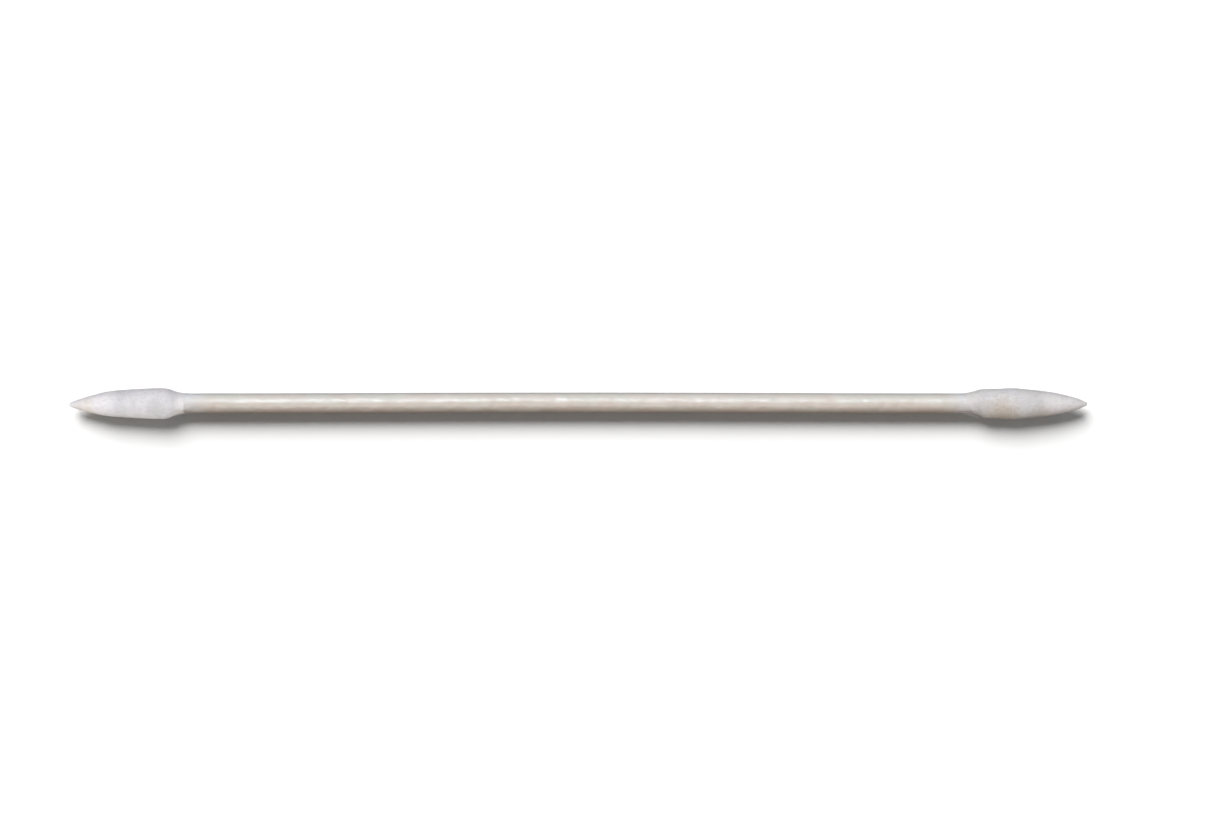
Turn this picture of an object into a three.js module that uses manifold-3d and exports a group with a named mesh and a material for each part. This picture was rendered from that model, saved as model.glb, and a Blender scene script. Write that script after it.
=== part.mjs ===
// Double-ended pointed cotton swab for blending and touching up, in millimetres, +Z up.
//
// The swab lies along X on its two cotton tips. The origin is on the surface it
// lies on, under the middle of its length, so z = 0 is the small flat where each
// tip rests and the swab's own axis runs along X at AXIS_HEIGHT.
//
// From the outside in, each end is: a thin skin of cotton set hard with sizing,
// the soft wound cotton under it, a cup of dried glue, and the end of a stick
// rolled from one strip of paper. Nothing on it moves.

import * as THREE from "three";
import { mergeVertices } from "three/addons/utils/BufferGeometryUtils.js";
import Module from "manifold-3d";

const wasm = await Module();
wasm.setup();

// ---- driving dimensions ----------------------------------------------------
const OVERALL_LENGTH = 150; // point to point
const STICK_RADIUS = 1.5; // the 3.0 mm paper stick
const STICK_SETBACK = 7.0; // from each point to the end of the stick inside the cotton
const AXIS_HEIGHT = 2.215; // of the swab's axis above the surface it lies on
const SIDES = 24; // facets around every round piece; one faces straight down

// the rolled paper
const PAPER_THICKNESS = 0.118;
const TURN_GAP = 0.007; // between two turns of paper
const TURNS = 11;
const RAMP_STEPS = 3; // facets over which a turn climbs onto the one before
const SEAM_ANGLE = -52.5; // degrees from +Y towards +Z: behind and below
const FILM_THICKNESS = 0.02; // glue under the last turn
const FILM_GAP = 0.006; // on each side of that glue

// the ends
const SKIN_THICKNESS = 0.09;
const LAYER_GAP = 0.015; // between the skin and the cotton
const GLUE_THICKNESS = 0.035;
const FIT_GAP = 0.01; // between the stick, the glue and the cotton
const NECK_LAND = 2.9; // length of skin that grips the bare stick at the neck

// Outline of each end, as [distance from its point, radius].
const LEFT_OUTLINE = [
  [0.2, 0.21],
  [0.65, 0.42],
  [1.5, 0.74],
  [2.6, 1.04],
  [3.9, 1.36],
  [5.1, 1.67],
  [6.8, 1.87],
  [8.8, 2.03],
  [10.7, 2.16],
  [11.9, 2.24],
  [12.7, 2.27],
  [13.6, 2.27],
  [14.3, 2.23],
  [14.8, 2.12],
  [15.5, 1.88],
  [16.2, 1.7],
  [16.9, 1.59],
  [17.5, 1.55],
];
const RIGHT_OUTLINE = [
  [0.2, 0.19],
  [0.6, 0.41],
  [1.3, 0.77],
  [2.4, 1.07],
  [3.7, 1.39],
  [5.0, 1.63],
  [6.6, 1.85],
  [8.2, 2.01],
  [9.6, 2.16],
  [10.4, 2.245],
  [10.8, 2.26],
  [11.7, 2.26],
  [12.2, 2.19],
  [13.2, 2.14],
  [15.2, 2.115],
  [16.1, 2.1],
  [16.5, 1.94],
  [17.0, 1.81],
  [17.8, 1.64],
  [18.6, 1.55],
];

// ---- materials -------------------------------------------------------------
const paperMaterial = new THREE.MeshStandardMaterial({
  color: 0xe4dccf,
  roughness: 0.45,
  metalness: 0,
});
const glueMaterial = new THREE.MeshStandardMaterial({
  color: 0xe9e5d6,
  roughness: 0.35,
  metalness: 0,
});
const cottonMaterial = new THREE.MeshStandardMaterial({
  color: 0xf4f3f1,
  roughness: 0.95,
  metalness: 0,
});
const skinMaterial = new THREE.MeshStandardMaterial({
  color: 0xdddbdc,
  roughness: 0.8,
  metalness: 0,
});

const swab = new THREE.Group();

function addPiece(name, geometry, material) {
  const mesh = new THREE.Mesh(geometry, material);
  mesh.name = name;
  mesh.position.z = AXIS_HEIGHT;
  swab.add(mesh);
}

// Radius of an outline at a distance from its point.
function radiusAt(outline, d) {
  let before = [0, 0];
  for (const after of outline) {
    if (d <= after[0])
      return (
        before[1] +
        ((after[1] - before[1]) * (d - before[0])) / (after[0] - before[0])
      );
    before = after;
  }
  return before[1];
}

// A turned piece of one end. The profile is [distance from the point, radius]
// along the outside and back along the inside; side is -1 for the left end and
// +1 for the right one. LatheGeometry turns about Y, which then becomes X.
function turned(profile, side) {
  const points = profile.map(
    ([d, r]) => new THREE.Vector2(r, side * (OVERALL_LENGTH / 2 - d)),
  );
  if (side > 0) points.reverse();
  const lathe = new THREE.LatheGeometry(points, SIDES, Math.PI / SIDES);
  return lathe.rotateZ(-Math.PI / 2);
}

// ---- the ends --------------------------------------------------------------
const stickEnd = STICK_SETBACK;
const glueBore = STICK_RADIUS + FIT_GAP;
const glueOuter = glueBore + GLUE_THICKNESS;
const cottonBore = glueOuter + FIT_GAP;
const glueCap = stickEnd - FIT_GAP - GLUE_THICKNESS;

// The outline moved in by depth, from a new point at tip to the distance end.
function inside(outline, depth, tip, end) {
  const points = outline
    .filter(([d, r]) => d > tip + 0.3 && d < end - 0.2 && r > depth + 0.05)
    .map(([d, r]) => [d, r - depth]);
  return [[tip, 0], ...points, [end, radiusAt(outline, end) - depth]];
}

// Sizing skin: a closed-ended sleeve that follows the outline, rests on the
// stick at the neck and is open there.
function sizingSkin(outline, side) {
  const neck = outline[outline.length - 1][0];
  const shoulder = neck - NECK_LAND;
  const inner = inside(outline, SKIN_THICKNESS, 0.3, shoulder);
  const profile = [
    [0, 0],
    ...outline,
    [neck, glueBore],
    [shoulder, glueBore],
    ...inner.reverse(),
  ];
  return restFlat(turned(profile, side));
}

// The cotton has been pressed flat where it rests: everything below the surface
// that the swab lies on is cut away.
function restFlat(geometry) {
  const below = new THREE.BoxGeometry(OVERALL_LENGTH, 20, 10);
  below.translate(0, 0, -AXIS_HEIGHT - 5);
  return surface(solid(geometry).subtract(solid(below)));
}

function solid(geometry) {
  const bare = geometry.index ? geometry.toNonIndexed() : geometry.clone();
  bare.deleteAttribute("normal");
  bare.deleteAttribute("uv");
  const merged = mergeVertices(bare, 1e-4);
  return new wasm.Manifold(
    new wasm.Mesh({
      numProp: 3,
      vertProperties: new Float32Array(merged.attributes.position.array),
      triVerts: new Uint32Array(merged.index.array),
    }),
  );
}

function surface(made) {
  const mesh = made.getMesh();
  const geometry = new THREE.BufferGeometry();
  geometry.setAttribute(
    "position",
    new THREE.BufferAttribute(new Float32Array(mesh.vertProperties), 3),
  );
  geometry.setIndex(new THREE.BufferAttribute(new Uint32Array(mesh.triVerts), 1));
  geometry.computeVertexNormals();
  return geometry;
}

// Wound cotton: fills the skin, with a blind bore for the glued stick.
function woundCotton(outline, side) {
  const neck = outline[outline.length - 1][0];
  const end = neck - NECK_LAND - 0.12;
  const outer = inside(outline, SKIN_THICKNESS + LAYER_GAP, 0.36, end);
  return turned(
    [...outer, [end, cottonBore], [glueCap - FIT_GAP, cottonBore], [glueCap - FIT_GAP, 0]],
    side,
  );
}

// Dried glue: a cup over the end of the stick.
function glueCup(outline, side) {
  const neck = outline[outline.length - 1][0];
  const rim = neck - NECK_LAND - 0.2;
  return turned(
    [
      [glueCap, 0],
      [glueCap, glueOuter],
      [rim, glueOuter],
      [rim, glueBore],
      [stickEnd - FIT_GAP, glueBore],
      [stickEnd - FIT_GAP, 0],
    ],
    side,
  );
}

for (const [name, outline, side] of [
  ["left", LEFT_OUTLINE, -1],
  ["right", RIGHT_OUTLINE, 1],
]) {
  addPiece("sizing_skin_" + name, sizingSkin(outline, side), skinMaterial);
  addPiece("cotton_tip_" + name, woundCotton(outline, side), cottonMaterial);
  addPiece("tip_glue_" + name, glueCup(outline, side), glueMaterial);
}

// ---- the stick -------------------------------------------------------------
const stickLength = OVERALL_LENGTH - 2 * STICK_SETBACK;
const lastTurn = TURNS - 1;
const filmRoom = FILM_THICKNESS + 2 * FILM_GAP;

// Outer radius of a turn of paper once it has climbed onto the one before.
function turnRadius(turn) {
  if (turn >= lastTurn) return STICK_RADIUS;
  const under = STICK_RADIUS - PAPER_THICKNESS - filmRoom;
  return under - (lastTurn - 1 - turn) * (PAPER_THICKNESS + TURN_GAP);
}

// Outer radius of the strip after a number of facets from its inner edge.
function stripRadius(step) {
  const turn = Math.floor(step / SIDES);
  const climb = Math.min(1, (step - turn * SIDES) / RAMP_STEPS);
  return turnRadius(turn - 1) + (turnRadius(turn) - turnRadius(turn - 1)) * climb;
}

function around(step, radius) {
  const angle = THREE.MathUtils.degToRad(SEAM_ANGLE + (step * 360) / SIDES);
  return new THREE.Vector2(radius * Math.cos(angle), radius * Math.sin(angle));
}

// Draws a section in the Y-Z plane out along X, centred on the swab's middle.
function alongStick(section, length) {
  const made = new THREE.ExtrudeGeometry(new THREE.Shape(section), {
    depth: length,
    steps: 1,
    bevelEnabled: false,
  });
  made.translate(0, 0, -length / 2);
  return made.applyMatrix4(
    new THREE.Matrix4().makeBasis(
      new THREE.Vector3(0, 1, 0),
      new THREE.Vector3(0, 0, 1),
      new THREE.Vector3(1, 0, 0),
    ),
  );
}

// One strip of paper rolled on itself: its section is the strip's own outline,
// wound TURNS times, with a pinhole at the centre and a lap seam outside.
const steps = TURNS * SIDES;
const outerEdge = [];
const innerEdge = [];
for (let step = 0; step <= steps; step++) {
  outerEdge.push(around(step, stripRadius(step)));
  innerEdge.push(around(step, stripRadius(step) - PAPER_THICKNESS));
}
addPiece(
  "paper_stick",
  alongStick([...outerEdge, ...innerEdge.reverse()], stickLength),
  paperMaterial,
);

// Glue between the last turn of paper and the one under it, from the end of the
// climb to the free edge.
const filmOuter = STICK_RADIUS - PAPER_THICKNESS - FILM_GAP;
const filmSection = [];
for (let step = RAMP_STEPS; step < SIDES; step++)
  filmSection.push(around(step, filmOuter));
for (let step = SIDES - 1; step >= RAMP_STEPS; step--)
  filmSection.push(around(step, filmOuter - FILM_THICKNESS));
addPiece(
  "seam_glue_film",
  alongStick(filmSection, stickLength - 1),
  glueMaterial,
);

export default swab;
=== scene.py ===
import math

import bpy
import numpy as np
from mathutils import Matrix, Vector


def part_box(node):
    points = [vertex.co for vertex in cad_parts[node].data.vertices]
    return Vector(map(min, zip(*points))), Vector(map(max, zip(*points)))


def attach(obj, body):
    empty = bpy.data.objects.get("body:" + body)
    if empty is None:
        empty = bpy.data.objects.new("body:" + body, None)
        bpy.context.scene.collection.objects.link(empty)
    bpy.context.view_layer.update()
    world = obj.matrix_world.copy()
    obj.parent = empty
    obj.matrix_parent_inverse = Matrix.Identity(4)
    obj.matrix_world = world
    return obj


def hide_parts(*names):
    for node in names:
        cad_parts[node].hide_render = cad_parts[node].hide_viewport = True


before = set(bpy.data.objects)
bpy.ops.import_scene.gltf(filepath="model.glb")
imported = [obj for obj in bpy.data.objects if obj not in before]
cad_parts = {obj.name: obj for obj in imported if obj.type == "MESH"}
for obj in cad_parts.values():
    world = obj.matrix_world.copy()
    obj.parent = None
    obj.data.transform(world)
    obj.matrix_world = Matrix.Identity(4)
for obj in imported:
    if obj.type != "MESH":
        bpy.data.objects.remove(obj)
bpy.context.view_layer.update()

MM = 0.001


# --------------------------------------------------------------------------
# Where the CAD says things are, in millimetres
# --------------------------------------------------------------------------
def box_mm(node):
    low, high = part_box(node)
    return np.array(low) / MM, np.array(high) / MM


stick_low, stick_high = box_mm("paper_stick")
AXIS = (stick_low[2] + stick_high[2]) / 2  # height of the swab's axis
STICK_R = 1.5
STICK_END = stick_high[0]
LEFT_POINT = box_mm("sizing_skin_left")[0][0]
RIGHT_POINT = box_mm("sizing_skin_right")[1][0]

# Outline of each end, close to the CAD's: [distance from its point, radius]
LEFT_OUTLINE = [
    (0.0, 0.0), (0.05, 0.17), (0.2, 0.29), (0.65, 0.49), (1.5, 0.79), (2.6, 1.11), (3.9, 1.44), (5.1, 1.71),
    (6.8, 1.93), (8.8, 2.07), (10.7, 2.18), (11.9, 2.24), (12.7, 2.265), (13.6, 2.265),
    (14.3, 2.21), (14.85, 2.08), (15.4, 1.88), (15.9, 1.72), (16.4, 1.61), (16.9, 1.548), (17.3, 1.518),
]
RIGHT_OUTLINE = [
    (0.0, 0.0), (0.05, 0.17), (0.2, 0.28), (0.6, 0.46), (1.3, 0.76), (2.4, 1.08), (3.7, 1.39), (5.0, 1.64),
    (6.6, 1.86), (8.2, 2.03), (9.6, 2.17), (10.4, 2.245), (11.0, 2.265), (11.7, 2.255),
    (12.3, 2.21), (13.2, 2.17), (14.4, 2.155), (15.3, 2.12), (15.95, 2.04), (16.35, 1.92),
    (16.75, 1.80), (17.2, 1.70), (17.7, 1.59), (18.2, 1.518),
]
LEFT_NECK = abs(LEFT_POINT) - LEFT_OUTLINE[-1][0]
RIGHT_NECK = RIGHT_POINT - RIGHT_OUTLINE[-1][0]


# --------------------------------------------------------------------------
# Noise, meshes
# --------------------------------------------------------------------------
def noise3(p, seed):
    """Gradient noise at points p (n x 3), about -1 to 1."""
    rng = np.random.default_rng(seed)
    perm = rng.permutation(256)
    perm = np.concatenate([perm, perm, perm])
    grads = rng.normal(size=(256, 3))
    grads /= np.linalg.norm(grads, axis=1)[:, None]
    cell = np.floor(p).astype(int)
    f = p - cell
    cell &= 255
    w = f * f * f * (f * (f * 6 - 15) + 10)
    total = np.zeros(len(p))
    for dx in (0, 1):
        wx = w[:, 0] if dx else 1 - w[:, 0]
        for dy in (0, 1):
            wy = w[:, 1] if dy else 1 - w[:, 1]
            for dz in (0, 1):
                wz = w[:, 2] if dz else 1 - w[:, 2]
                h = perm[perm[perm[(cell[:, 0] + dx) & 255] + ((cell[:, 1] + dy) & 255)] + ((cell[:, 2] + dz) & 255)]
                g = grads[h]
                total += wx * wy * wz * (g[:, 0] * (f[:, 0] - dx) + g[:, 1] * (f[:, 1] - dy) + g[:, 2] * (f[:, 2] - dz))
    return total * 1.6


def noise1(t, seed):
    p = np.stack([t, np.full_like(t, 0.37), np.full_like(t, 0.71)], 1)
    return noise3(p, seed)


def smooth(x):
    x = np.clip(x, 0, 1)
    return x * x * (3 - 2 * x)


def make_mesh(name, points_mm, faces):
    """A smooth-shaded mesh object from points in millimetres."""
    mesh = bpy.data.meshes.new(name)
    mesh.from_pydata((np.asarray(points_mm) * MM).tolist(), [], faces)
    mesh.polygons.foreach_set("use_smooth", np.ones(len(mesh.polygons), bool))
    mesh.update()
    piece = bpy.data.objects.new(name, mesh)
    bpy.context.scene.collection.objects.link(piece)
    return piece


def tube_faces(rings, around, offset=0, flip=False):
    """Quads between closed rings of points, ring after ring."""
    i = np.arange(rings - 1)[:, None] * around
    j = np.arange(around)[None, :]
    k = (j + 1) % around
    quads = np.stack([i + j, i + k, i + around + k, i + around + j], -1).reshape(-1, 4) + offset
    if flip:
        quads = quads[:, ::-1]
    return quads.tolist()


def outline_curve(outline, count):
    """Points along a smooth curve through the outline, evenly spaced, and the outward normals."""
    pts = np.array(outline, float)
    mirrored = pts[1] * (1, -1)  # so that the curve crosses the axis square on
    tail = 2 * pts[-1] - pts[-2]
    ext = np.vstack([mirrored, pts, tail])
    fine = []
    for a, b, c, d in zip(ext[:-3], ext[1:-2], ext[2:-1], ext[3:]):
        t = np.linspace(0, 1, 60, endpoint=False)[:, None]
        # centripetal Catmull-Rom
        ta = 0.0
        tb = ta + np.linalg.norm(b - a) ** 0.5
        tc = tb + np.linalg.norm(c - b) ** 0.5
        td = tc + np.linalg.norm(d - c) ** 0.5
        s = tb + (tc - tb) * t
        a1 = (tb - s) / (tb - ta) * a + (s - ta) / (tb - ta) * b
        a2 = (tc - s) / (tc - tb) * b + (s - tb) / (tc - tb) * c
        a3 = (td - s) / (td - tc) * c + (s - tc) / (td - tc) * d
        b1 = (tc - s) / (tc - ta) * a1 + (s - ta) / (tc - ta) * a2
        b2 = (td - s) / (td - tb) * a2 + (s - tb) / (td - tb) * a3
        fine.append((tc - s) / (tc - tb) * b1 + (s - tb) / (tc - tb) * b2)
    fine = np.vstack(fine + [pts[-1:]])
    fine[:, 1] = np.maximum(fine[:, 1], 0)
    length = np.concatenate([[0], np.cumsum(np.linalg.norm(np.diff(fine, axis=0), axis=1))])
    at = np.linspace(0, length[-1], count)
    curve = np.stack([np.interp(at, length, fine[:, k]) for k in (0, 1)], 1)
    tangent = np.gradient(curve, axis=0)
    tangent /= np.linalg.norm(tangent, axis=1)[:, None]
    normal = np.stack([-tangent[:, 1], tangent[:, 0]], 1)
    normal[0] = (-1, 0)
    return curve, normal, at


# --------------------------------------------------------------------------
# Materials
# --------------------------------------------------------------------------
class Nodes:
    """A short way to write a node tree."""

    def __init__(self, name):
        self.material = bpy.data.materials.new(name)
        self.material.use_nodes = True
        self.tree = self.material.node_tree
        self.tree.nodes.clear()
        self.out = self.tree.nodes.new("ShaderNodeOutputMaterial")
        self.shader = self.tree.nodes.new("ShaderNodeBsdfPrincipled")
        self.tree.links.new(self.shader.outputs[0], self.out.inputs["Surface"])
        coords = self.tree.nodes.new("ShaderNodeTexCoord")
        to_mm = self.tree.nodes.new("ShaderNodeVectorMath")
        to_mm.operation = "SCALE"
        to_mm.inputs["Scale"].default_value = 1000
        self.tree.links.new(coords.outputs["Object"], to_mm.inputs[0])
        self.mm = to_mm.outputs[0]  # the point's place, in millimetres

    def set(self, **values):
        for key, value in values.items():
            self.shader.inputs[key.replace("_", " ")].default_value = value

    def put(self, socket, target):
        self.tree.links.new(socket, self.shader.inputs[target])

    def _feed(self, node, index, value):
        if isinstance(value, bpy.types.NodeSocket):
            self.tree.links.new(value, node.inputs[index])
        else:
            node.inputs[index].default_value = value

    def math(self, operation, a, b=0.0, c=None, clamp=False):
        node = self.tree.nodes.new("ShaderNodeMath")
        node.operation = operation
        node.use_clamp = clamp
        self._feed(node, 0, a)
        self._feed(node, 1, b)
        if c is not None:
            self._feed(node, 2, c)
        return node.outputs[0]

    def times(self, vector, by):
        node = self.tree.nodes.new("ShaderNodeVectorMath")
        node.operation = "MULTIPLY"
        self.tree.links.new(vector, node.inputs[0])
        node.inputs[1].default_value = by
        return node.outputs[0]

    def plus(self, vector, by):
        node = self.tree.nodes.new("ShaderNodeVectorMath")
        node.operation = "ADD"
        self.tree.links.new(vector, node.inputs[0])
        node.inputs[1].default_value = by
        return node.outputs[0]

    def split(self, vector):
        node = self.tree.nodes.new("ShaderNodeSeparateXYZ")
        self.tree.links.new(vector, node.inputs[0])
        return node.outputs

    def join(self, x, y, z):
        node = self.tree.nodes.new("ShaderNodeCombineXYZ")
        for i, value in enumerate((x, y, z)):
            self._feed(node, i, value)
        return node.outputs[0]

    def noise(self, vector, scale=1.0, detail=3.0, rough=0.5, distort=0.0):
        node = self.tree.nodes.new("ShaderNodeTexNoise")
        self.tree.links.new(vector, node.inputs["Vector"])
        node.inputs["Scale"].default_value = scale
        node.inputs["Detail"].default_value = detail
        node.inputs["Roughness"].default_value = rough
        node.inputs["Distortion"].default_value = distort
        return node.outputs["Fac"]

    def range(self, value, low, high, to_low=0.0, to_high=1.0, kind="SMOOTHSTEP"):
        node = self.tree.nodes.new("ShaderNodeMapRange")
        node.interpolation_type = kind
        self._feed(node, 0, value)
        for i, number in enumerate((low, high, to_low, to_high)):
            node.inputs[i + 1].default_value = number
        return node.outputs[0]

    def mix(self, factor, a, b, kind="MIX"):
        node = self.tree.nodes.new("ShaderNodeMix")
        node.data_type = "RGBA"
        node.blend_type = kind
        self._feed(node, 0, factor)
        for index, value in ((6, a), (7, b)):
            if isinstance(value, bpy.types.NodeSocket):
                self.tree.links.new(value, node.inputs[index])
            else:
                node.inputs[index].default_value = (*value, 1)
        return node.outputs[2]

    def bump(self, height, distance_mm, before=None, strength=1.0):
        node = self.tree.nodes.new("ShaderNodeBump")
        node.inputs["Strength"].default_value = strength
        node.inputs["Distance"].default_value = distance_mm * MM
        self.tree.links.new(height, node.inputs["Height"])
        if before is not None:
            self.tree.links.new(before, node.inputs["Normal"])
        return node.outputs[0]

    def distance(self, centre):
        node = self.tree.nodes.new("ShaderNodeVectorMath")
        node.operation = "DISTANCE"
        self.tree.links.new(self.mm, node.inputs[0])
        node.inputs[1].default_value = centre
        return node.outputs["Value"]

    def helix(self, pitch, along, across):
        """A vector that runs slowly along a helix about the swab's axis and fast across it."""
        x, y, z = self.split(self.mm)
        angle = self.math("ARCTAN2", self.math("SUBTRACT", z, AXIS), y)
        turned = self.math("SUBTRACT", angle, self.math("MULTIPLY", x, 2 * math.pi / pitch))
        return self.join(
            self.math("DIVIDE", x, along),
            self.math("MULTIPLY", self.math("COSINE", turned), across),
            self.math("MULTIPLY", self.math("SINE", turned), across),
        )


def paper_material(name):
    """Cream uncoated paper, calendered to a satin, with its grain along the stick."""
    m = Nodes(name)
    cloud = m.range(m.noise(m.times(m.mm, (0.28, 0.5, 0.5)), 1.0, 3, 0.55), 0.3, 0.7)
    patch = m.range(m.noise(m.plus(m.times(m.mm, (0.55, 0.8, 0.8)), (31, 5, 9)), 1.0, 2, 0.5), 0.32, 0.68)
    green = m.range(m.noise(m.plus(m.times(m.mm, (0.21, 0.6, 0.6)), (11, 25, 2)), 1.0, 2, 0.5), 0.40, 0.66)
    grain = m.noise(m.plus(m.times(m.mm, (1.1, 7.0, 7.0)), (3, 17, 2)), 1.0, 4, 0.6)
    flock = m.noise(m.plus(m.times(m.mm, (4.0, 9.0, 9.0)), (13, 7, 22)), 1.0, 3, 0.6)
    colour = m.mix(cloud, (0.895, 0.718, 0.548), (0.955, 0.796, 0.630))
    colour = m.mix(m.math("MULTIPLY", patch, 0.45), colour, (0.920, 0.680, 0.545))
    colour = m.mix(m.math("MULTIPLY", green, 0.45), colour, (0.850, 0.775, 0.600))
    colour = m.mix(m.range(grain, 0.30, 0.72, 0.0, 0.35), colour, (0.960, 0.870, 0.760))
    colour = m.mix(m.range(flock, 0.58, 0.74, 0.0, 0.28), colour, (0.70, 0.575, 0.46))
    # a veil of cotton lies on the paper just outside each tip, and dulls it
    x = m.split(m.mm)[0]
    edge = m.math("MULTIPLY", m.math("SUBTRACT", grain, 0.5), 6.0)
    veil = m.math("MAXIMUM", m.range(m.math("ADD", x, edge), RIGHT_NECK - 3.2, RIGHT_NECK + 0.6),
                  m.range(m.math("ADD", m.math("MULTIPLY", x, -1.0), edge), LEFT_NECK - 4.2, LEFT_NECK + 0.4))
    colour = m.mix(m.math("MULTIPLY", veil, 0.8), colour, (0.985, 0.895, 0.810))
    m.put(colour, "Base Color")
    sheen = m.noise(m.plus(m.times(m.mm, (0.42, 0.8, 0.8)), (2, 41, 6)), 1.0, 2, 0.5)
    m.put(m.math("ADD", m.range(sheen, 0.32, 0.68, 0.36, 0.48), m.math("MULTIPLY", veil, 0.3)), "Roughness")
    swell = m.noise(m.plus(m.times(m.mm, (0.48, 0.50, 0.50)), (7, 3, 11)), 1.0, 1, 0.5)
    normal = m.bump(swell, 0.21)
    normal = m.bump(grain, 0.012, normal)
    normal = m.bump(flock, 0.006, normal)
    m.put(normal, "Normal")
    m.set(
        IOR=1.5,
        Specular_IOR_Level=0.8,
        Coat_Weight=1.0,
        Coat_Roughness=0.34,
        Coat_IOR=1.10,
        Coat_Tint=(0.70, 0.73, 0.78, 1.0),
    )
    return m.material


def cotton_material(name, shift, neck, stains):
    """Cotton wound round the stick and set with sizing: close, smooth and matt, with the fibres just showing."""
    m = Nodes(name)
    clump = m.noise(m.plus(m.times(m.mm, (0.60, 0.75, 0.75)), (shift, 3, 1)), 1.0, 3, 0.55)
    haze = m.noise(m.plus(m.times(m.mm, (0.30, 0.36, 0.36)), (shift + 7, 8, 5)), 1.0, 2, 0.5)
    cool = m.noise(m.plus(m.times(m.mm, (0.45, 0.5, 0.5)), (shift + 21, 1, 15)), 1.0, 2, 0.5)
    strand = m.noise(m.helix(5.2, 1.9, 7.0), 1.0, 3, 0.6)
    fibre = m.noise(m.helix(-6.5, 0.55, 26.0), 1.0, 3, 0.65)
    nap = m.noise(m.plus(m.times(m.mm, (9, 9, 9)), (shift, 0, 4)), 1.0, 3, 0.6)
    colour = m.mix(m.range(clump, 0.34, 0.66), (0.828, 0.815, 0.827), (0.880, 0.868, 0.882))
    colour = m.mix(m.range(haze, 0.40, 0.66, 0.0, 0.50), colour, (0.840, 0.830, 0.780))
    colour = m.mix(m.range(cool, 0.42, 0.68, 0.0, 0.42), colour, (0.840, 0.806, 0.900))
    speck = m.noise(m.plus(m.times(m.mm, (1.5, 2.1, 2.1)), (shift + 2, 9, 3)), 1.0, 3, 0.6)
    colour = m.mix(m.range(strand, 0.36, 0.70, 0.0, 0.40), colour, (0.925, 0.920, 0.930))
    colour = m.mix(m.range(speck, 0.50, 0.68, 0.0, 0.55), colour, (0.935, 0.935, 0.930))
    colour = m.mix(m.range(speck, 0.50, 0.34, 0.0, 0.50), colour, (0.735, 0.720, 0.740))
    colour = m.mix(m.range(fibre, 0.55, 0.75, 0.0, 0.22), colour, (0.68, 0.67, 0.68))
    for centre, reach, tint, weight in stains:
        away = m.math("ADD", m.distance(centre), m.math("MULTIPLY", m.math("SUBTRACT", speck, 0.5), 2.6))
        colour = m.mix(m.range(away, reach, reach * 0.25, 0.0, weight), colour, tint)
    # towards the neck the cotton is thin and the paper shows through it
    x = m.split(m.mm)[0]
    thin = m.math("ADD", m.math("ABSOLUTE", x), m.math("MULTIPLY", m.math("SUBTRACT", clump, 0.5), 1.6))
    thin = m.math("ADD", thin, m.math("MULTIPLY", m.math("SUBTRACT", fibre, 0.5), 1.2))
    paperish = m.range(thin, neck + 2.8, neck + 0.1)
    colour = m.mix(m.math("MULTIPLY", paperish, 0.8), colour, (0.812, 0.802, 0.782))
    # painted shade: near the neck the cotton's colour is darkened on its -y side, the shaded side of the swab
    painted_neck_shade = m.range(m.split(m.mm)[1], -0.4, -1.5)
    painted_neck_shade = m.math("MULTIPLY", painted_neck_shade, m.range(m.math("ABSOLUTE", x), neck + 2.2, neck + 0.2))
    colour = m.mix(m.math("MULTIPLY", painted_neck_shade, 0.8), colour, (0.42, 0.38, 0.34))
    m.put(colour, "Base Color")
    m.put(m.range(m.math("ABSOLUTE", x), neck + 3.4, neck + 1.0, 0.8, 0.0), "Subsurface Weight")
    m.put(m.range(strand, 0.3, 0.7, 0.72, 0.88), "Roughness")
    normal = m.bump(speck, 0.07)
    normal = m.bump(strand, 0.030, normal)
    normal = m.bump(fibre, 0.012, normal)
    normal = m.bump(nap, 0.012, normal)
    m.put(normal, "Normal")
    m.set(
        Subsurface_Radius=(1.5 * MM, 1.45 * MM, 1.4 * MM),
        Subsurface_Scale=1.0,
        Sheen_Weight=0.12,
        Sheen_Roughness=0.5,
        Specular_IOR_Level=0.25,
        Coat_Weight=1.0,
        Coat_Roughness=0.7,
        Coat_IOR=1.10,
        Coat_Tint=(0.88, 0.88, 0.88, 1.0),
    )
    return m.material


def fuzz_material(name):
    """Loose cotton fibres."""
    m = Nodes(name)
    tone = m.noise(m.times(m.mm, (2.5, 2.5, 2.5)), 1.0, 2, 0.5)
    m.put(m.mix(tone, (0.74, 0.735, 0.74), (0.88, 0.875, 0.87)), "Base Color")
    m.set(Roughness=0.6, Sheen_Weight=0.15, Specular_IOR_Level=0.3)
    return m.material


def glue_material(name):
    """Dried white glue, yellowed a little and uneven."""
    m = Nodes(name)
    pool = m.noise(m.times(m.mm, (0.5, 0.9, 0.9)), 1.0, 3, 0.5)
    bubble = m.noise(m.times(m.mm, (3, 3, 3)), 1.0, 2, 0.5)
    m.put(m.mix(pool, (0.78, 0.74, 0.62), (0.90, 0.88, 0.80)), "Base Color")
    m.put(m.range(bubble, 0.3, 0.7, 0.25, 0.45), "Roughness")
    m.put(m.bump(bubble, 0.01), "Normal")
    return m.material


paper = paper_material("rolled_paper")
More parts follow.
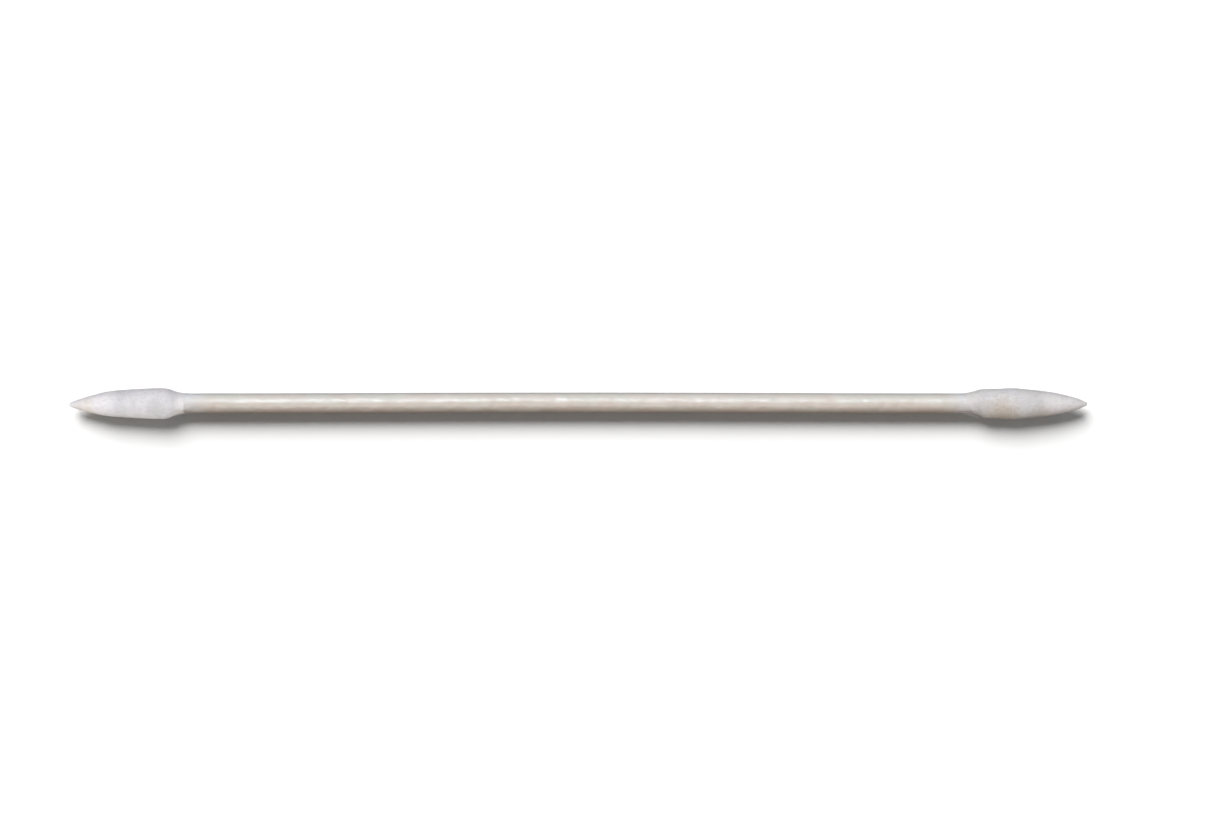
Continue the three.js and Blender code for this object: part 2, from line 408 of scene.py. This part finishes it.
# Faint marks: where each is, how far it reaches, its colour and how strong it is
cotton_left = cotton_material("sized_cotton_left", 4.0, LEFT_NECK, (
    ((LEFT_POINT + 13.0, -0.7, AXIS + 2.0), 2.4, (0.66, 0.66, 0.65), 0.75),
    ((LEFT_POINT + 2.6, -0.9, AXIS + 0.2), 2.6, (0.80, 0.74, 0.62), 0.55),
))
cotton_right = cotton_material("sized_cotton_right", 19.0, RIGHT_NECK, (
    ((RIGHT_POINT - 12.6, -1.6, AXIS + 1.2), 3.6, (0.66, 0.59, 0.49), 0.80),
    ((RIGHT_POINT - 7.0, -1.7, AXIS + 0.7), 2.6, (0.74, 0.67, 0.58), 0.60),
    ((RIGHT_POINT - 15.6, -0.8, AXIS + 2.0), 2.2, (0.70, 0.68, 0.66), 0.60),
))
fuzz = fuzz_material("cotton_fuzz")
glue = glue_material("dried_glue")


# --------------------------------------------------------------------------
# The rolled paper stick
# --------------------------------------------------------------------------
PAPER_T = 0.118
TURNS = 11
TURN_PITCH = 0.125
SEAM = math.radians(-52.5)
RAMP = 1 / 8  # of a turn, over which the paper climbs onto the turn below
FILM_ROOM = 0.032
BOW = 0.12  # how far the middle of the stick stands to one side


def bow_at(x):
    return BOW * np.where(np.abs(x) < 57, np.cos(np.pi * x / 114) ** 2, 0)


def turn_radius(turn):
    return np.where(turn >= TURNS - 1, STICK_R, STICK_R - PAPER_T - FILM_ROOM - (TURNS - 2 - turn) * TURN_PITCH)


def strip_radius(turns):
    """Outer radius of the strip after a number of turns from its inner edge."""
    whole = np.floor(turns + 1e-9)
    climb = smooth((turns - whole) / RAMP)
    return turn_radius(whole - 1) + (turn_radius(whole) - turn_radius(whole - 1)) * climb


def paper_strip(name, first, last, per_turn, stations, relief):
    """The strip between two counts of turns, closed all round, with its relief on the outside."""
    count = int(round((last - first) * per_turn)) + 1
    turns = np.linspace(first, last, count)
    radius = strip_radius(np.minimum(turns, TURNS - 1e-6))
    angle = SEAM + 2 * math.pi * turns
    along = np.linspace(-STICK_END, STICK_END, stations)
    x = np.repeat(along, count)
    a = np.tile(angle, stations)
    outer = np.tile(radius, stations)
    inner = outer - PAPER_T
    lift = relief(x, a, np.tile(turns, stations)) if relief else 0.0
    shift = bow_at(x)

    def place(r):
        return np.stack([x, r * np.cos(a) + shift, AXIS + r * np.sin(a)], 1).reshape(stations, count, 3)

    rings = np.concatenate([place(outer + lift), place(inner)[:, ::-1]], 1)
    size = 2 * count
    points = rings.reshape(-1, 3)
    faces = tube_faces(stations, size)
    # the ends, as quads between the outer and the inner edge
    for start, flip in ((0, True), ((stations - 1) * size, False)):
        for k in range(count - 1):
            quad = [start + k, start + k + 1, start + size - 2 - k, start + size - 1 - k]
            faces.append(quad[::-1] if flip else quad)
    return make_mesh(name, points, faces)


def stick_relief(x, a, turns):
    """The paper's slight waviness along the stick, and its edge pressed down at the seam."""
    p = np.stack([x / 3.4, 1.5 * np.cos(a) / 1.6, 1.5 * np.sin(a) / 1.6], 1)
    q = np.stack([x / 9.0, np.cos(a), np.sin(a)], 1)
    wave = 0.006 * noise3(p, 11) + 0.008 * noise3(q, 12)
    edge = smooth((turns - (TURNS - 0.06)) / 0.06)
    return np.where(np.abs(x) < 60, wave, 0) - 0.02 * edge


outer_turn = paper_strip("paper_outer_turn", TURNS - 1.06, TURNS, 84, 320, stick_relief)
inner_turns = paper_strip("paper_inner_turns", 0, TURNS - 1.06, 24, 24, None)
for piece in (outer_turn, inner_turns):
    piece.data.materials.append(paper)
    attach(piece, "root")
    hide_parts("paper_stick")


# --------------------------------------------------------------------------
# The cotton tips
# --------------------------------------------------------------------------
LIP_R = 1.508  # at the very edge of the cotton
SLEEVE_R = 1.512  # where the cotton grips the bare stick
CUP_R = 1.56  # round the glue
CUP_D = 6.94  # from the point to the end of the bore


def surface_point(curve, normal, d_shift, lift, phi, side, point):
    """World points for an outline moved along its normals, at the angles phi."""
    d = curve[:, 0] + d_shift + normal[:, 0] * lift
    r = curve[:, 1] + normal[:, 1] * lift
    return np.stack([point - side * d, r * np.cos(phi), AXIS + r * np.sin(phi)], 1)


def cotton_lift(x, phi, radius, seed, side):
    """How far the cotton stands above its smooth outline."""
    y, z = radius * np.cos(phi), radius * np.sin(phi)
    lumps = noise3(np.stack([x / 3.6, y / 2.2, z / 2.2], 1), seed)
    dimples = noise3(np.stack([x / 1.25, y / 1.1, z / 1.1], 1), seed + 1)
    turned = phi - x * 2 * math.pi / 5.2
    strands = noise3(np.stack([x / 1.9, 4.6 * np.cos(turned), 4.6 * np.sin(turned)], 1), seed + 2)
    turned = phi + x * 2 * math.pi / 6.5
    fine = noise3(np.stack([x / 0.9, 11 * np.cos(turned), 11 * np.sin(turned)], 1), seed + 3)
    size = np.clip(radius / 1.6, 0, 1)
    return size * (0.012 * lumps + 0.010 * dimples + 0.010 * strands + 0.004 * fine)


def cotton_tip(name, outline, side, point, droop, slant, seed, material):
    rings, around = 290, 216
    curve, normal, at = outline_curve(outline, rings)
    total = at[-1]
    phi_one = np.arange(around) * 2 * math.pi / around
    phi = np.tile(phi_one, rings)
    curve_all, normal_all = np.repeat(curve, around, 0), np.repeat(normal, around, 0)
    at_all = np.repeat(at, around)
    x = point - side * curve_all[:, 0]
    lift = cotton_lift(x, phi, curve_all[:, 1], seed, side)
    # at the neck the cotton thins out onto the stick in an uneven feathered edge
    near_end = smooth((at_all - (total - 2.2)) / 2.2)
    lift = lift * (1 - 0.85 * near_end)
    ragged = 0.28 * noise3(np.stack([np.cos(phi) * 1.6, np.sin(phi) * 1.6, phi * 0 + seed], 1), seed + 5)
    ragged += 0.16 * noise3(np.stack([np.cos(phi) * 5, np.sin(phi) * 5, phi * 0 + seed], 1), seed + 6)
    shift = (ragged - 0.10) * near_end
    shift -= slant * (1 - np.cos(phi)) / 2 * smooth((at_all - (total - 4.5)) / 4.5)
    outer = surface_point(curve_all, normal_all, shift, lift, phi, side, point)
    outer[:, 1] -= droop * smooth((8 - curve_all[:, 0]) / 8)
    outer[:, 2] = np.maximum(outer[:, 2], 0)  # pressed flat where it lies
    outer = outer[around:]  # the first ring is the point itself
    before_lip = outer[-around:] * 0.94 + outer[-2 * around:-around] * 0.06
    outer = np.vstack([outer[:-around], before_lip, outer[-around:]])
    rings += 1
    apex = np.array([[point, -droop, AXIS]])

    # the feathered edge turns in against the stick, and a blind bore holds the stick and its glue
    edge_d = (point - outer[-around:, 0]) * side
    neck = edge_d.min()
    bore = [(edge_d - 0.006, LIP_R), (edge_d - 0.3, SLEEVE_R), (edge_d * 0 + neck - 0.5, SLEEVE_R)]
    for d in np.linspace(neck - 0.9, CUP_D, 10):
        bore.append((edge_d * 0 + d, CUP_R))
    bore.append((edge_d * 0 + CUP_D, CUP_R * 0.5))
    inner = [np.stack([point - side * d, r * np.cos(phi_one), AXIS + r * np.sin(phi_one)], 1) for d, r in bore]
    points = np.vstack([outer, *inner, [[point - side * CUP_D, 0, AXIS]], apex])
    n_rings = (rings - 1) + len(inner)
    faces = tube_faces(n_rings, around, flip=side > 0)
    last = n_rings * around
    for k in range(around):
        n = (k + 1) % around
        tri = [last + 1, n, k]
        faces.append(tri[::-1] if side > 0 else tri)
        tri = [last, (n_rings - 1) * around + k, (n_rings - 1) * around + n]
        faces.append(tri[::-1] if side > 0 else tri)
    piece = make_mesh(name, points, faces)
    piece.data.materials.append(material)
    return piece


def fibres(name, outline, side, point, droop, seed, count, neck_count):
    """Loose fibres that lie on a tip and lift off it here and there, as thin closed tubes."""
    rng = np.random.default_rng(seed)
    curve, normal, at = outline_curve(outline, 400)
    total = at[-1]
    sides, steps = 4, 12
    points, faces = [], []
    for n in range(count + neck_count):
        at_neck = n >= count
        thick = rng.uniform(0.007, 0.010)
        if at_neck:
            s0 = total - rng.uniform(0.4, 2.4)
            thick *= 0.75
            length = rng.uniform(0.7, 1.8)
            heading = rng.uniform(-0.5, 0.5)
            rise = rng.uniform(0.004, 0.022)
        else:
            s0 = rng.uniform(0.8, total - 1.2)
            length = rng.uniform(0.9, 3.2)
            heading = rng.normal(math.pi / 2 * rng.choice([-1, 1]), 0.35)
            rise = rng.uniform(0.02, 0.09) if rng.random() < 0.82 else rng.uniform(0.09, 0.2)
        phi0 = rng.uniform(0, 2 * math.pi)
        bend = rng.normal(0, 0.35)
        t = np.linspace(0, 1, steps)
        s, phi = s0, phi0
        path = []
        peak = rng.uniform(0.35, 1.0)
        for k, tt in enumerate(t):
            s_here = min(max(s, 0.15), total + 1.4)
            if s_here <= total:
                d, r = (np.interp(s_here, at, curve[:, j]) for j in (0, 1))
                nd, nr = (np.interp(s_here, at, normal[:, j]) for j in (0, 1))
            else:
                d, r, nd, nr = curve[-1, 0] + s_here - total, STICK_R, 0.0, 1.0
            height = -0.03 + (rise + 0.03) * math.sin(math.pi * min(tt / peak, 1.0) * 0.5) ** 1.5
            if tt > peak:
                height -= (tt - peak) * rise * 0.8
            dd, rr = d + nd * height, max(r + nr * height, 0.02)
            sink = droop * float(smooth((8 - d) / 8))
            path.append((point - side * dd, rr * math.cos(phi) - sink, AXIS + rr * math.sin(phi)))
            turn = heading + bend * tt
            step = length / (steps - 1)
            s += math.cos(turn) * step
            phi += math.sin(turn) * step / max(r, 0.25)
        path = np.array(path)
        if path[:, 2].min() < thick + 0.002:
            path[:, 2] = np.maximum(path[:, 2], thick + 0.002)
        tangent = np.gradient(path, axis=0)
        tangent /= np.linalg.norm(tangent, axis=1)[:, None] + 1e-12
        out = path - np.array([0, 0, AXIS])
        out[:, 0] = 0
        out /= np.linalg.norm(out, axis=1)[:, None] + 1e-9
        first = np.cross(tangent, out)
        first /= np.linalg.norm(first, axis=1)[:, None] + 1e-12
        second = np.cross(tangent, first)
        base = len(points)
        for k in range(steps):
            radius = thick * (0.35 if k in (0, steps - 1) else 1.0)
            for j in range(sides):
                w = 2 * math.pi * j / sides
                points.append(path[k] + radius * (math.cos(w) * first[k] + math.sin(w) * second[k]))
        faces += tube_faces(steps, sides, base)
        faces.append([base + j for j in range(sides)][::-1])
        faces.append([base + (steps - 1) * sides + j for j in range(sides)])
    piece = make_mesh(name, np.array(points), faces)
    piece.data.materials.append(fuzz)
    return piece


for word, outline, side, point, droop, slant, seed, material in (
    ("left", LEFT_OUTLINE, -1, LEFT_POINT, 0.16, 0.3, 100, cotton_left),
    ("right", RIGHT_OUTLINE, 1, RIGHT_POINT, 0.06, 1.25, 200, cotton_right),
):
    tip = cotton_tip("cotton_" + word, outline, side, point, droop, slant, seed, material)
    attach(tip, "root")
    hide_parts("sizing_skin_" + word, "cotton_tip_" + word)
    loose = fibres("cotton_fuzz_" + word, outline, side, point, droop, seed + 50, 240, 36)
    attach(loose, "root")

# The pieces that stay as the CAD made them, inside the rest
for node, material in (
    ("tip_glue_left", glue),
    ("tip_glue_right", glue),
    ("seam_glue_film", glue),
):
    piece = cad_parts[node]
    piece.data.materials.clear()
    piece.data.materials.append(material)


# --------------------------------------------------------------------------
# Stage, light and camera
# --------------------------------------------------------------------------
def plane(name, height, colour, near=-6, far=6):
    """A wide plain floor."""
    mesh = bpy.data.meshes.new(name)
    mesh.from_pydata([(-6, near, height), (6, near, height), (6, far, height), (-6, far, height)], [], [(0, 1, 2, 3)])
    made = bpy.data.objects.new(name, mesh)
    bpy.context.scene.collection.objects.link(made)
    material = bpy.data.materials.new(name)
    material.use_nodes = True
    shader = material.node_tree.nodes["Principled BSDF"]
    shader.inputs["Base Color"].default_value = (*colour, 1)
    shader.inputs["Roughness"].default_value = 1.0
    shader.inputs["Specular IOR Level"].default_value = 0.0
    mesh.materials.append(material)
    return made


# The white floor that is seen, and a greyer one just under it that throws less light back up at the swab
floor = plane("floor", -2e-5, (0.98, 0.98, 0.98))
floor.visible_diffuse = False
floor.visible_glossy = False
floor.visible_shadow = False
bounce_near = plane("bounce_near", -4e-5, (0.66, 0.60, 0.54), far=0)
bounce_far = plane("bounce_far", -4e-5, (0.42, 0.41, 0.40), near=0)
for piece in (bounce_near, bounce_far):
    piece.visible_camera = False
    piece.visible_glossy = False


def backdrop(name, radius):
    """A white dome round the floor, which only the camera sees."""
    around, rings = 64, 17
    points = [(0, 0, radius)]
    for k in range(1, rings):
        tilt = math.radians(91) * k / (rings - 1)
        for j in range(around):
            turn = 2 * math.pi * j / around
            points.append((radius * math.sin(tilt) * math.cos(turn), radius * math.sin(tilt) * math.sin(turn),
                           radius * math.cos(tilt)))
    faces = [(0, 1 + (j + 1) % around, 1 + j) for j in range(around)] + tube_faces(rings - 1, around, 1)
    made = make_mesh(name, np.array(points) / MM, faces)
    material = bpy.data.materials.new(name)
    material.use_nodes = True
    shader = material.node_tree.nodes["Principled BSDF"]
    shader.inputs["Base Color"].default_value = (0, 0, 0, 1)
    shader.inputs["Specular IOR Level"].default_value = 0.0
    shader.inputs["Emission Color"].default_value = (1, 1, 1, 1)
    shader.inputs["Emission Strength"].default_value = 1.0
    material.cycles.emission_sampling = "NONE"
    made.data.materials.append(material)
    for rays in ("diffuse", "glossy", "transmission", "volume_scatter", "shadow"):
        setattr(made, "visible_" + rays, False)
    return made


dome = backdrop("backdrop", 5.9)


def sun(name, towards, strength, spread, colour):
    """A far lamp that shines from the direction given, spread degrees wide."""
    lamp = bpy.data.lights.new(name, "SUN")
    lamp.energy = strength
    lamp.angle = math.radians(spread)
    lamp.color = colour
    placed = bpy.data.objects.new(name, lamp)
    placed.rotation_euler = Vector(towards).to_track_quat("Z", "Y").to_euler()
    bpy.context.scene.collection.objects.link(placed)
    return placed


def aim(tilt):
    """A direction tilted by so many degrees from straight up: towards the top of the picture if positive."""
    tilt = math.radians(tilt)
    return (-0.15, math.sin(tilt), math.cos(tilt))


# One lamp gives the floor its light and the drop shadow; the others light the swab.
shadow_key = sun("shadow_key", (-0.26, 0.63, 0.73), 3.93, 35, (1.0, 1.0, 1.0))
paper_high = sun("paper_high", aim(28), 2.42, 30, (1.01, 1.025, 1.035))
paper_side = sun("paper_side", aim(47), 0.84, 30, (0.74, 1.04, 1.36))
paper_fill = sun("paper_fill", aim(-38), 0.17, 40, (1.30, 0.85, 0.60))
paper_gloss = sun("paper_gloss", aim(29), 2.10, 22, (0.92, 1.04, 1.07))
paper_rim = sun("paper_rim", aim(44), 0.38, 16, (0.85, 1.0, 1.10))
paper_low = sun("paper_low", aim(-30), 0.86, 16, (1.13, 0.97, 0.84))
left_high = sun("left_high", aim(4), 1.62, 30, (1.0, 0.965, 1.06))
left_side = sun("left_side", aim(55), 1.12, 34, (0.99, 0.99, 1.02))
left_fill = sun("left_fill", aim(-40), 1.24, 34, (1.02, 0.99, 0.93))
right_key = sun("right_key", aim(20), 2.52, 34, (0.985, 0.99, 1.015))
right_fill = sun("right_fill", aim(-18), 0.27, 34, (1.25, 0.85, 0.60))
for lamp in (paper_high, paper_side, paper_fill):
    lamp.visible_glossy = False
for lamp in (paper_gloss, paper_rim, paper_low):
    lamp.visible_diffuse = False


def only_on(lamp, chosen):
    """The lamp lights only the chosen objects."""
    group = bpy.data.collections.new("lit_by_" + lamp.name)
    for piece in chosen:
        group.objects.link(piece)
    lamp.light_linking.receiver_collection = group


stage = (floor, bounce_near, bounce_far, dome)
swab = [piece for piece in bpy.context.scene.objects if piece.type == "MESH" and piece not in stage]
left = [piece for piece in swab if piece.name in ("cotton_left", "cotton_fuzz_left")]
right = [piece for piece in swab if piece.name in ("cotton_right", "cotton_fuzz_right")]
paper_and_glue = [piece for piece in swab if piece not in left + right]
only_on(shadow_key, [floor, bounce_near, bounce_far])
for lamp in (paper_high, paper_side, paper_fill, paper_gloss, paper_rim, paper_low):
    only_on(lamp, paper_and_glue)
for lamp in (left_high, left_side, left_fill):
    only_on(lamp, left)
for lamp in (right_key, right_fill):
    only_on(lamp, right)

world = bpy.data.worlds.new("studio")
world.use_nodes = True
sky = world.node_tree.nodes["Background"]
sky.inputs["Color"].default_value = (1.0, 0.985, 0.97, 1)
sky.inputs["Strength"].default_value = 0.165
bpy.context.scene.world = world

scene = bpy.context.scene
scene.view_settings.view_transform = "Standard"
scene.view_settings.look = "None"
scene.view_settings.exposure = 0.0
scene.view_settings.gamma = 1.0

# Straight down. The frame is 1219 by 825, and takes in 179.7 mm of the plane of the axis.
FRAME_MM = 179.7
LENS, SENSOR = 100.0, 36.0
camera_data = bpy.data.cameras.new("camera")
camera_data.lens = LENS
camera_data.sensor_width = SENSOR
camera_data.sensor_fit = "HORIZONTAL"
camera_data.clip_start = 0.01
camera_data.clip_end = 50
camera = bpy.data.objects.new("camera", camera_data)
camera.location = (4.6 * MM, -1.31 * MM, (AXIS + FRAME_MM * LENS / SENSOR) * MM)
bpy.context.scene.collection.objects.link(camera)
scene.camera = camera
